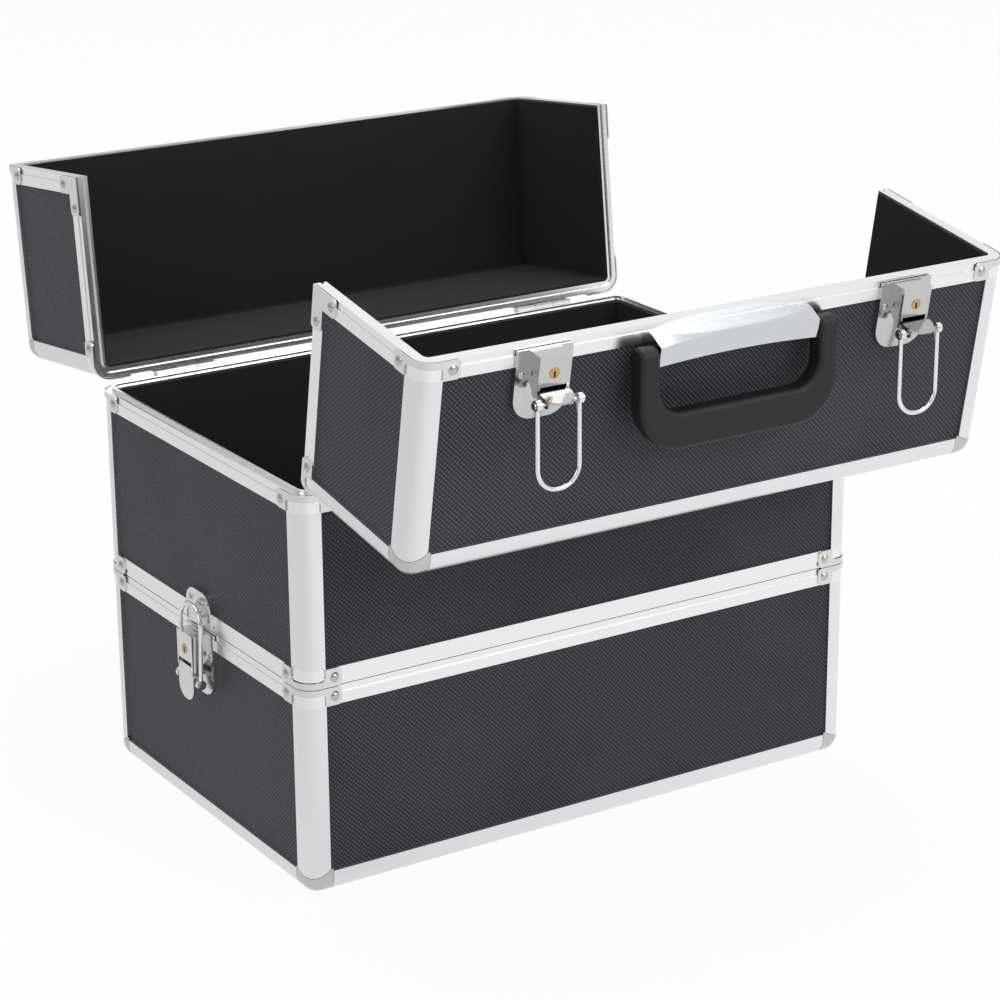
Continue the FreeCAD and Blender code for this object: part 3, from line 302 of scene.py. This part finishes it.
def flocked_lining(name):
    """Black napped lining: short pile, a little sheen, soft unevenness where it is glued."""
    material, tree, shader = new_material(name)
    place = turned_coordinates(tree)
    pile = noise(tree, place, PILE, detail=4.0, roughness=PILE_MIX)
    patches = noise(tree, place, PATCHES)
    tone = blended(tree, pile, patches, PILE_SHARE)
    tree.links.new(mixed_colour(tree, tone, LINING_DARK, LINING_PALE), shader.inputs["Base Color"])
    tree.links.new(ranged(tree, pile, NOISE_SPAN, LINING_ROUGH), shader.inputs["Roughness"])
    shader.inputs["Sheen Weight"].default_value = LINING_SHEEN
    shader.inputs["Sheen Roughness"].default_value = LINING_SHEEN_ROUGH
    shader.inputs["Specular IOR Level"].default_value = LINING_GLOSS
    swell = bump(tree, patches, PATCH_DEPTH, PATCH_STRENGTH)
    relief = bump(tree, pile, PILE_DEPTH, PILE_STRENGTH, swell)
    tree.links.new(relief, shader.inputs["Normal"])
    return material


def hinge_turn(joint_name):
    """Turn about X, in radians, that shuts a lid from its rest pose."""
    joint = joints[joint_name]
    return math.radians(joint["range_deg"][0]) * joint["axis"][0]


FRONT_SHUT = hinge_turn("front_lid_hinge")
REAR_SHUT = hinge_turn("rear_lid_hinge")

ALUMINIUM = (0.83, 0.835, 0.845)
BRIGHT_ALUMINIUM = (0.87, 0.875, 0.88)
NICKEL = (0.61, 0.615, 0.61)
BRIGHT_NICKEL = (0.76, 0.765, 0.76)
# Lever nickel: plate nickel painted darker, a painted reflection of the dark panels the levers mirror
LEVER_NICKEL_PAINTED_REFLECTION = (0.45, 0.455, 0.46)
WIRE = (0.80, 0.80, 0.80)
CHROME = (0.62, 0.64, 0.655)
STEEL = (0.60, 0.605, 0.61)
BRACKET_GREY = (0.70, 0.705, 0.71)
CORNER_GREY = (0.57, 0.565, 0.555)
RIVET_GREY = (0.58, 0.57, 0.54)
BRASS = (0.64, 0.41, 0.145)
ALONG_POST = (900.0, 900.0, 9.0)
ALONG_RIM = (7.0, 7.0, 900.0)
ALONG_PLATE = (600.0, 600.0, 14.0)

# Each metal's colour, roughness and how much darker its dull parts are, then its streaks' scale and turn
METALS = {
    "post_aluminium": (ALUMINIUM, 0.27, 0.10, ALONG_POST),
    "box_edge_aluminium": (ALUMINIUM, 0.32, 0.10, ALONG_RIM),
    "front_edge_aluminium": (ALUMINIUM, 0.32, 0.10, ALONG_RIM, FRONT_SHUT),
    "rear_edge_aluminium": (ALUMINIUM, 0.32, 0.10, ALONG_RIM, REAR_SHUT),
    "box_rim_aluminium": (BRIGHT_ALUMINIUM, 0.24, 0.05, ALONG_RIM),
    "front_rim_aluminium": (BRIGHT_ALUMINIUM, 0.24, 0.05, ALONG_RIM, FRONT_SHUT),
    "rear_rim_aluminium": (BRIGHT_ALUMINIUM, 0.24, 0.05, ALONG_RIM, REAR_SHUT),
    "nickel_plate": (NICKEL, 0.15, 0.20, ALONG_PLATE),
    "side_nickel": (BRIGHT_NICKEL, 0.15, 0.16, ALONG_PLATE),
    # Levers: darker nickel as a painted reflection of the dark panels
    "lever_nickel_painted_reflection": (LEVER_NICKEL_PAINTED_REFLECTION, 0.14, 0.06),
    "nickel_wire": (WIRE, 0.16, 0.04),
    "handle_chrome": (CHROME, 0.15, 0.04),
    "bracket_steel": (BRACKET_GREY, 0.2, 0.024),
    "rivet_steel": (RIVET_GREY, 0.2, 0.20),
    "corner_steel": (CORNER_GREY, 0.27, 0.03),
    "hinge_steel": (STEEL, 0.28, 0.16),
    "lock_brass": (BRASS, 0.28, 0.24),
}

metals = {name: metal(name, *look) for name, look in METALS.items()}
box_panel = embossed_panel("box_panel")
front_lid_panel = embossed_panel("front_lid_panel", FRONT_SHUT)
rear_lid_panel = embossed_panel("rear_lid_panel", REAR_SHUT)
grip_black = moulded_black("grip_black")
black_lining = flocked_lining("black_lining")

LID_FINISHES = {
    "front_lid_panels": front_lid_panel,
    "front_lid_edges": metals["front_edge_aluminium"],
    "front_lid_rims": metals["front_rim_aluminium"],
    "rear_lid_panels": rear_lid_panel,
    "rear_lid_edges": metals["rear_edge_aluminium"],
    "rear_lid_rims": metals["rear_rim_aluminium"],
}
FINISHES_BY_ENDING = {
    "panels": box_panel,
    "floor": box_panel,
    "posts": metals["post_aluminium"],
    "edges": metals["box_edge_aluminium"],
    "rim": metals["box_rim_aluminium"],
    "rims": metals["box_rim_aluminium"],
    "corners": metals["corner_steel"],
    "leaves": metals["hinge_steel"],
    "hinge_pins": metals["hinge_steel"],
    "grip": grip_black,
    "handle_bracket": metals["handle_chrome"],
    "brackets": metals["bracket_steel"],
    "rivets": metals["rivet_steel"],
}
FINISHES_BY_WORD = {
    "lock_plug": metals["lock_brass"],
    "loop": metals["nickel_wire"],
    "top_latch_lever": metals["lever_nickel_painted_reflection"],
    "side_latch": metals["side_nickel"],
    "side_catches": metals["side_nickel"],
}


def finish_for(name):
    """The finish of a CAD node, from its name."""
    if name in LID_FINISHES:
        return LID_FINISHES[name]
    for ending, finish in FINISHES_BY_ENDING.items():
        if name.endswith(ending):
            return finish
    for word, finish in FINISHES_BY_WORD.items():
        if word in name:
            return finish
    return metals["nickel_plate"]


def dress_nodes():
    for name, item in nodes.items():
        item.data.materials.clear()
        item.data.materials.append(finish_for(name))


dress_nodes()

# Pieces made by hand


def deselect_all():
    if bpy.context.object and bpy.context.object.mode != "OBJECT":
        bpy.ops.object.mode_set(mode="OBJECT")
    bpy.ops.object.select_all(action="DESELECT")


def select_faces(item, wanted):
    """Selects faces in code, then leaves the mesh in edit mode."""
    bpy.ops.object.mode_set(mode="OBJECT")
    for vertex in item.data.vertices:
        vertex.select = False
    for edge in item.data.edges:
        edge.select = False
    for face in item.data.polygons:
        face.select = bool(wanted(face))
    bpy.ops.object.mode_set(mode="EDIT")
    bpy.ops.mesh.select_mode(type="FACE")


def select_edges(item, wanted):
    """Selects edges in code by their two ends, then leaves the mesh in edit mode."""
    bpy.ops.object.mode_set(mode="OBJECT")
    for face in item.data.polygons:
        face.select = False
    for vertex in item.data.vertices:
        vertex.select = False
    points = [vertex.co for vertex in item.data.vertices]
    for edge in item.data.edges:
        edge.select = bool(wanted(points[edge.vertices[0]], points[edge.vertices[1]]))
    bpy.ops.object.mode_set(mode="EDIT")
    bpy.ops.mesh.select_mode(type="EDGE")


def apply_modifiers(item):
    bpy.ops.object.mode_set(mode="OBJECT")
    for modifier in list(item.modifiers):
        bpy.ops.object.modifier_apply(modifier=modifier.name)


def turn_lid_piece(item, joint_name, turn):
    """Turns a piece made in a shut lid to the lid's rest pose, about the lid's hinge."""
    pivot = Vector(joints[joint_name]["pos_m"])
    opened = Matrix.Rotation(-turn, 4, "X")
    item.data.transform(Matrix.Translation(pivot) @ opened @ Matrix.Translation(-pivot))
    item.data.update()


def shut_box(name, joint_name, turn):
    """Corners of a lid's node as it lies when the lid is shut."""
    pivot = Vector(joints[joint_name]["pos_m"])
    shut = Matrix.Rotation(turn, 3, "X")
    points = [shut @ (vertex.co - pivot) + pivot for vertex in nodes[name].data.vertices]
    low = Vector([min(point[axis] for point in points) for axis in range(3)])
    high = Vector([max(point[axis] for point in points) for axis in range(3)])
    return low, high


# Linings: cloth folded into a box or a lid, with rounded corners, folds and lip
LINING_THICK = 1.3 * MM
LINING_CORNER = 3.3 * MM
LINING_FOLD = 4.5 * MM
LINING_LIP = 0.4 * MM
CORNER_SEGMENTS = 5
LIP_SEGMENTS = 2
FOLD_ANGLE = math.radians(60)
SMOOTH_ANGLE = math.radians(40)
FACING = 0.9
NEAR_RIM = 0.49


def lining_shell(name, low, high, open_sides):
    """Glued lining of a box with some sides left open, its folds rounded."""
    deselect_all()
    bpy.ops.mesh.primitive_cube_add(size=1.0, location=(low + high) / 2)
    item = bpy.context.object
    item.name = name
    item.scale = high - low
    bpy.ops.object.transform_apply(location=True, rotation=True, scale=True)
    select_faces(item, lambda face: any(face.normal.dot(side) > FACING for side in open_sides))
    bpy.ops.mesh.delete(type="FACE")
    middle = (low + high) / 2
    floor_side = -open_sides[0]

    def on_floor(point):
        return (point - middle).dot(floor_side) > 0

    def is_boundary(start, end):
        centre = (start + end) / 2 - middle
        return any(centre.dot(side) > NEAR_RIM * abs((high - low).dot(side)) for side in open_sides)

    select_edges(item, lambda start, end: not is_boundary(start, end) and on_floor(start) != on_floor(end))
    bpy.ops.mesh.bevel(offset=LINING_CORNER, segments=CORNER_SEGMENTS, affect="EDGES")
    bpy.ops.object.mode_set(mode="OBJECT")
    fold = item.modifiers.new("fold", "BEVEL")
    fold.width = LINING_FOLD
    fold.segments = CORNER_SEGMENTS
    fold.limit_method = "ANGLE"
    fold.angle_limit = FOLD_ANGLE
    wall = item.modifiers.new("wall", "SOLIDIFY")
    wall.thickness = LINING_THICK
    wall.offset = -1.0
    wall.use_even_offset = True
    lip = item.modifiers.new("lip", "BEVEL")
    lip.width = LINING_LIP
    lip.segments = LIP_SEGMENTS
    lip.limit_method = "ANGLE"
    lip.angle_limit = FOLD_ANGLE
    apply_modifiers(item)
    bpy.ops.object.shade_smooth_by_angle(angle=SMOOTH_ANGLE)
    item.data.materials.append(black_lining)
    return item


def add_box_lining(box_name):
    low, high = (Vector(corner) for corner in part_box(f"{box_name}_lining"))
    item = lining_shell(f"{box_name}_cloth_lining", low, high, [Vector((0, 0, 1))])
    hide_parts(f"{box_name}_lining")
    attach(item, f"{box_name}_box")


def add_lid_lining(lid_name, turn, free_side):
    joint_name = f"{lid_name}_hinge"
    low, high = shut_box(f"{lid_name}_lining", joint_name, turn)
    open_sides = [Vector((0, 0, -1)), Vector((0, free_side, 0))]
    item = lining_shell(f"{lid_name}_cloth_lining", low, high, open_sides)
    turn_lid_piece(item, joint_name, turn)
    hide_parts(f"{lid_name}_lining")
    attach(item, lid_name)


add_box_lining("lower")
add_box_lining("middle")
add_lid_lining("front_lid", FRONT_SHUT, 1)
add_lid_lining("rear_lid", REAR_SHUT, -1)

# Rivets: low domes, placed from the locks and from the hinge leaves
RIVET_SEGMENTS = 20
RIVET_RINGS = 12
RIVET_SMOOTH_ANGLE = math.radians(50)
WING_RIVET = (2.0 * MM, 1.1 * MM)
HINGE_RIVET = (1.9 * MM, 0.9 * MM)
LATCH_HOUSING_RISE = 11.0 * MM
WING_RISE = 1.5 * MM
WING_REACH = 12.9 * MM
WING_DROP = 3.2 * MM
CATCH_RISE = 1.4 * MM
CATCH_REACH = 9.0 * MM
CATCH_HEIGHT = 27.0 * MM
LEAF_WALL = 1.2 * MM
LEAF_HALF = 20.0 * MM
HINGE_STANDS_OFF = 3.0 * MM
HINGED_WALL = abs(joints["rear_lid_hinge"]["pos_m"][1]) - HINGE_STANDS_OFF
LEAF_RIVET_REACH = 13.0 * MM
LEAF_RIVET_HEIGHT = 5.5 * MM
FACING_SIDEWAYS = 0.5


def dome_rivet(radius, height):
    """Low dome with a flat foot, standing on the origin along +Z."""
    tilts = [step * math.pi / RIVET_RINGS for step in range(RIVET_RINGS // 2)]
    radii = [radius * math.cos(tilt) for tilt in tilts]
    rises = [height * math.sin(tilt) for tilt in tilts]
    deselect_all()
    bpy.ops.mesh.primitive_cone_add(
        vertices=RIVET_SEGMENTS,
        radius1=radii[0],
        radius2=radii[1],
        depth=rises[1],
        location=(0, 0, rises[1] / 2),
    )
    item = bpy.context.object
    bpy.ops.object.transform_apply(location=True, rotation=True, scale=True)
    select_faces(item, lambda face: face.normal.z > FACING)
    edge_share = math.cos(math.pi / RIVET_SEGMENTS)
    for step in range(2, len(tilts)):
        narrowing = (radii[step - 1] - radii[step]) * edge_share
        bpy.ops.mesh.inset(thickness=narrowing, depth=rises[step] - rises[step - 1], use_individual=True)
    bpy.ops.mesh.poke(offset=height - rises[-1])
    bpy.ops.object.mode_set(mode="OBJECT")
    bpy.ops.object.shade_smooth_by_angle(angle=RIVET_SMOOTH_ANGLE)
    return item


def rivet_row(name, body, size, spots):
    """Copies of one rivet at spots given as (place, outward direction), made one piece."""
    first = dome_rivet(*size)
    copies = []
    for place, outward in spots:
        copy = first.copy()
        copy.data = first.data.copy()
        bpy.context.collection.objects.link(copy)
        turn = Vector(outward).to_track_quat("Z", "Y").to_matrix().to_4x4()
        copy.data.transform(Matrix.Translation(place) @ turn)
        copies.append(copy)
    bpy.data.objects.remove(first)
    deselect_all()
    for copy in copies:
        copy.select_set(True)
    bpy.context.view_layer.objects.active = copies[0]
    bpy.ops.object.join()
    item = bpy.context.object
    item.name = name
    item.data.materials.append(metals["rivet_steel"])
    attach(item, body)
    return item


def latch_axes(lock_joint):
    """A lock's place, and the directions out of, across and down its plate."""
    joint = joints[lock_joint]
    outward = Vector(joint["axis"])
    across = Vector((1, 0, 0)) if abs(outward.x) < FACING_SIDEWAYS else Vector((0, 1, 0))
    down = outward.cross(across)
    if down.z > 0:
        down = -down
    return Vector(joint["pos_m"]), outward, across, down


def wing_spots(place):
    """Rivets on the wings of both latch plates of one place."""
    spots = []
    for side in ("left", "right"):
        key, outward, across, down = latch_axes(f"{place}_lock_{side}_turn")
        foot = key - outward * (LATCH_HOUSING_RISE - WING_RISE) + down * WING_DROP
        spots += [(foot + across * WING_REACH * way, outward) for way in (-1, 1)]
    return spots


def side_catch_spots():
    spots = []
    for side in ("left", "right"):
        key, outward, across, down = latch_axes(f"side_lock_{side}_turn")
        foot = key - outward * (LATCH_HOUSING_RISE - CATCH_RISE) - down * CATCH_HEIGHT
        spots += [(foot + across * CATCH_REACH * way, outward) for way in (-1, 1)]
    return spots


def hinge_spots(low, high, height, way):
    """Two rivets on each of the leaves along one wall of the box or of a shut lid."""
    wall = HINGED_WALL + LEAF_WALL
    centres = (low.x + LEAF_HALF, high.x - LEAF_HALF)
    return [
        (Vector((centre + reach, way * wall, height)), Vector((0, way, 0)))
        for centre in centres
        for reach in (-LEAF_RIVET_REACH, LEAF_RIVET_REACH)
    ]


def add_rivets():
    for name, body, spots in (
        ("top_latch_wing_rivets", "front_lid", wing_spots("top")),
        ("side_latch_wing_rivets", "lower_box", wing_spots("side")),
        ("side_catch_rivets", "middle_box", side_catch_spots()),
    ):
        rivet_row(name, body, WING_RIVET, spots)
    low, high = (Vector(corner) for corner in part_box("hinge_box_leaves"))
    height = low.z + LEAF_RIVET_HEIGHT
    spots = hinge_spots(low, high, height, -1) + hinge_spots(low, high, height, 1)
    rivet_row("hinge_box_rivets", "middle_box", HINGE_RIVET, spots)
    for lid_name, turn, way in (("front_lid", FRONT_SHUT, -1), ("rear_lid", REAR_SHUT, 1)):
        leaves = lid_name.replace("_lid", "_hinge_leaves")
        low, high = shut_box(leaves, f"{lid_name}_hinge", turn)
        spots = hinge_spots(low, high, high.z - LEAF_RIVET_HEIGHT, way)
        item = rivet_row(f"{leaves}_rivets", lid_name, HINGE_RIVET, spots)
        turn_lid_piece(item, f"{lid_name}_hinge", turn)


add_rivets()

# Floor and light

# Paper: white to the camera, and a little dimmer to the left where metal mirrors it
FLOOR_SIZE = 12.0
PAPER_GREY = (0.84, 0.84, 0.84)
PAPER_WHITE = (0.88, 0.88, 0.88)
PAPER_FIBRES = 60.0
PAPER_ROUGH = 0.9
PAPER_GLOW = 0.94
PAPER_SLANT = -0.5
PAPER_SPAN = (-0.4, 0.2)
PAPER_LEVELS = (0.80, 1.0)

# Studio: a plain level of light, and in mirrors dimmer to the left and near the horizon
AMBIENT_LEVEL = 0.54
SHADY_SLANT = 0.3
SHADY_SPAN = (-0.9, 0.35)
SHADY_LEVELS = (0.55, 1.0)
HORIZON_SPAN = (0.0, 0.6)
HORIZON_LEVELS = (0.55, 1.0)

# Lamps: place and size in metres, power in watts
SOFTBOXES = {
    "left_softbox": ((-2.4, -1.2, 1.7), 1.6, 11.0),
    "front_softbox": ((1.0, -2.8, 2.0), 1.8, 38.0),
    "top_softbox": ((0.2, 0.4, 3.0), 2.0, 40.0),
}


def directly_seen(tree):
    """One for a camera, mirror or glass ray and nought for the rest, and the part for mirror rays alone."""
    path = add_node(tree, "ShaderNodeLightPath")
    seen = math_node(tree, "MAXIMUM", path.outputs["Is Camera Ray"], path.outputs["Is Glossy Ray"])
    seen = math_node(tree, "MAXIMUM", seen, path.outputs["Is Transmission Ray"])
    return seen, path.outputs["Is Glossy Ray"]


def paper_floor():
    """White sheet that shows as white and keeps a soft shadow, its mirror image dimmer to the left."""
    material, tree, shader = new_material("paper_floor")
    seen, mirror = directly_seen(tree)
    place = turned_coordinates(tree)
    fibres = noise(tree, place, PAPER_FIBRES, detail=2.0)
    tree.links.new(mixed_colour(tree, fibres, PAPER_GREY, PAPER_WHITE), shader.inputs["Base Color"])
    shader.inputs["Roughness"].default_value = PAPER_ROUGH
    glow = add_node(tree, "ShaderNodeEmission")
    across, along, _ = parts_of(tree, place)
    aside = math_node(tree, "ADD", across, math_node(tree, "MULTIPLY", along, PAPER_SLANT))
    fall = math_node(tree, "SUBTRACT", 1.0, ranged(tree, aside, PAPER_SPAN, PAPER_LEVELS))
    mirrored = math_node(tree, "MULTIPLY", mirror, fall)
    tree.links.new(math_node(tree, "SUBTRACT", 1.0, mirrored), glow.inputs["Strength"])
    blend = add_node(tree, "ShaderNodeMixShader")
    tree.links.new(math_node(tree, "MULTIPLY", seen, PAPER_GLOW), blend.inputs["Fac"])
    tree.links.new(shader.outputs["BSDF"], blend.inputs[1])
    tree.links.new(glow.outputs["Emission"], blend.inputs[2])
    tree.links.new(blend.outputs["Shader"], tree.nodes["Material Output"].inputs["Surface"])
    return material


def add_floor():
    deselect_all()
    bpy.ops.mesh.primitive_plane_add(size=FLOOR_SIZE)
    floor = bpy.context.object
    floor.name = "paper_floor"
    floor.data.materials.append(paper_floor())


def light_world():
    """White surroundings for camera and reflections, these dimmer to the left, a plain level for the rest."""
    world = bpy.data.worlds.new("white_studio")
    world.use_nodes = True
    tree = world.node_tree
    seen, mirror = directly_seen(tree)
    direction = add_node(tree, "ShaderNodeTexCoord")
    across, along, up = parts_of(tree, direction.outputs["Generated"])
    slant = math_node(tree, "ADD", across, math_node(tree, "MULTIPLY", along, SHADY_SLANT))
    aside = ranged(tree, slant, SHADY_SPAN, SHADY_LEVELS)
    shade = math_node(tree, "MULTIPLY", aside, ranged(tree, up, HORIZON_SPAN, HORIZON_LEVELS))
    mirrored = math_node(tree, "MULTIPLY", mirror, math_node(tree, "SUBTRACT", shade, 1.0))
    white = math_node(tree, "ADD", 1.0, mirrored)
    plain = math_node(tree, "MULTIPLY", math_node(tree, "SUBTRACT", 1.0, seen), AMBIENT_LEVEL)
    background = tree.nodes["Background"]
    background.inputs["Color"].default_value = (1.0, 1.0, 1.0, 1.0)
    level = math_node(tree, "ADD", math_node(tree, "MULTIPLY", seen, white), plain)
    tree.links.new(level, background.inputs["Strength"])
    bpy.context.scene.world = world


def add_softbox(name, place, size, power):
    """Square lamp aimed at the case."""
    place = Vector(place)
    bpy.ops.object.light_add(type="AREA", location=place)
    lamp = bpy.context.object
    lamp.name = name
    lamp.data.shape = "SQUARE"
    lamp.data.size = size
    lamp.data.energy = power
    lamp.rotation_euler = (place - VIEW_TARGET).to_track_quat("Z", "Y").to_euler()


add_floor()
light_world()
for lamp_name, lamp_setting in SOFTBOXES.items():
    add_softbox(lamp_name, *lamp_setting)

bpy.context.scene.view_settings.view_transform = "Standard"

deselect_all()
